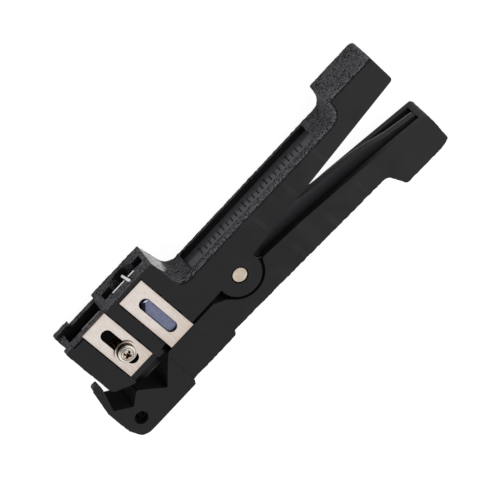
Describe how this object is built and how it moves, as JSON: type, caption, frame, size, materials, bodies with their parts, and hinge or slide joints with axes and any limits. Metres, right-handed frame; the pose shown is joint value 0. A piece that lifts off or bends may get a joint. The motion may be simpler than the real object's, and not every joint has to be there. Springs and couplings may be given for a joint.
{
  "type": "coaxial cable stripper",
  "caption": "Squeeze-to-open coaxial cable stripper with two moulded levers, V-grooved jaw and adjustable blade sets.",
  "frame": {"origin": "middle of the bounding box's bottom, under the tool as it lies on its far side", "axes": "+X from the blade head to the handle ends, +Y from the lower lever to the upper lever's back, +Z out of the near side, which holds the plates"},
  "size_m": [0.1395, 0.0496, 0.0168],
  "materials": {
    "upper_moulding": "moulded, fine texture",
    "lower_moulding": "moulded, fine texture",
    "pin_steel": "ground end",
    "spring_steel": "drawn wire",
    "plate_steel": "brushed",
    "blade_steel": "ground",
    "tinted_bar": "satin",
    "plated_steel": "bright plated",
    "nut_brass": "bright"
  },
  "bodies": {
    "upper_handle": {"upper_lever": "upper_moulding", "pivot_pin": "pin_steel", "return_spring": "spring_steel", "rear_side_plate": "plate_steel", "front_nut": "nut_brass", "front_washer": "plated_steel"},
    "lower_handle": {"lower_lever": "lower_moulding"},
    "rear_blade_set": {"rear_guide_bar": "tinted_bar", "rear_blade": "blade_steel", "rear_cross_pin": "pin_steel", "rear_washer": "plated_steel"},
    "rear_clamp_screw": {"rear_screw": "plated_steel"},
    "front_blade_set": {"front_side_plate": "plate_steel", "front_blade": "blade_steel"},
    "front_clamp_screw": {"front_screw": "plated_steel"}
  },
  "joints": [
    {"name": "lever_pivot", "type": "hinge", "parent": "upper_handle", "child": "lower_handle", "pos_m": [-0.00845, -0.002, 0.0071], "axis": [0, 0, 1], "range_deg": [0, 13], "stiffness_Nm_per_rad": 0.4, "springref_deg": -40.11, "deforming": ["return_spring"]},
    {"name": "rear_blade_slide", "type": "slide", "parent": "upper_handle", "child": "rear_blade_set", "axis": [0, 1, 0], "range_m": [0, 0.0028]},
    {"name": "rear_screw_turn", "type": "hinge", "parent": "rear_blade_set", "child": "rear_clamp_screw", "pos_m": [-0.0351, 0.0076, 0.0071], "axis": [0, 0, -1], "range_deg": [0, 360]},
    {"name": "front_blade_slide", "type": "slide", "parent": "upper_handle", "child": "front_blade_set", "axis": [0, 1, 0], "range_m": [-0.0005, 0.003]},
    {"name": "front_screw_turn", "type": "hinge", "parent": "upper_handle", "child": "front_clamp_screw", "pos_m": [-0.05055, 0.0095, 0.0071], "axis": [0, 0, 1], "range_deg": [0, 360]}
  ]
}
